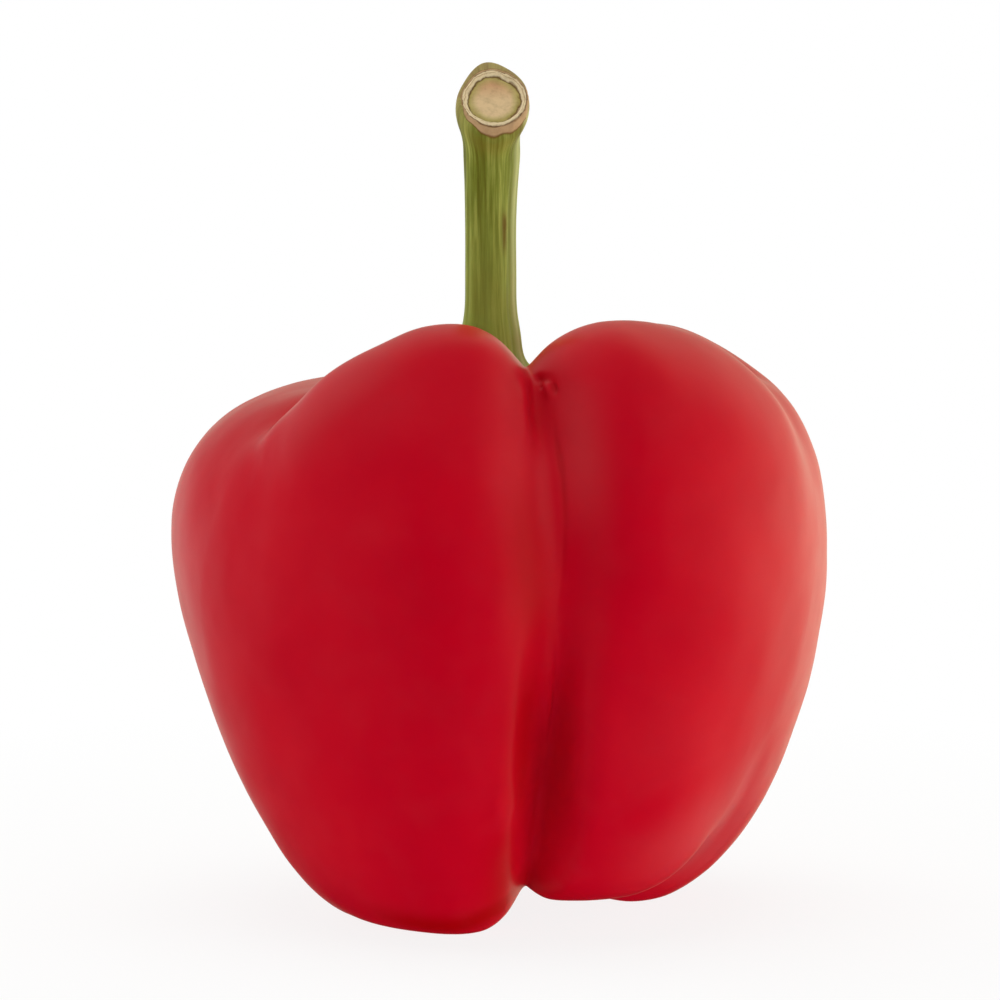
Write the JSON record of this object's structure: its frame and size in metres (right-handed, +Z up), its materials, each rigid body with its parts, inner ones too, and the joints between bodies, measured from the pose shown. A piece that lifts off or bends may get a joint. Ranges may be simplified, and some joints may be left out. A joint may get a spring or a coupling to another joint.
{
  "type": "bell pepper",
  "caption": "Red bell pepper with rounded lobes and deep grooves, standing on its base, with a green calyx and a cut woody stalk.",
  "frame": {"origin": "centre of the bounding box in plan, on the surface that the pepper stands on", "axes": "+Z up along the stalk, -Y towards the viewer, +X to the viewer's right"},
  "size_m": [0.0922, 0.0846, 0.119],
  "materials": {
    "skin": "smooth waxy red skin with a soft gloss",
    "stalk": "satin fibrous olive green, corky and tan at the cut"
  },
  "bodies": {
    "root": {"fruit": "skin", "stem": "stalk"}
  },
  "joints": []
}
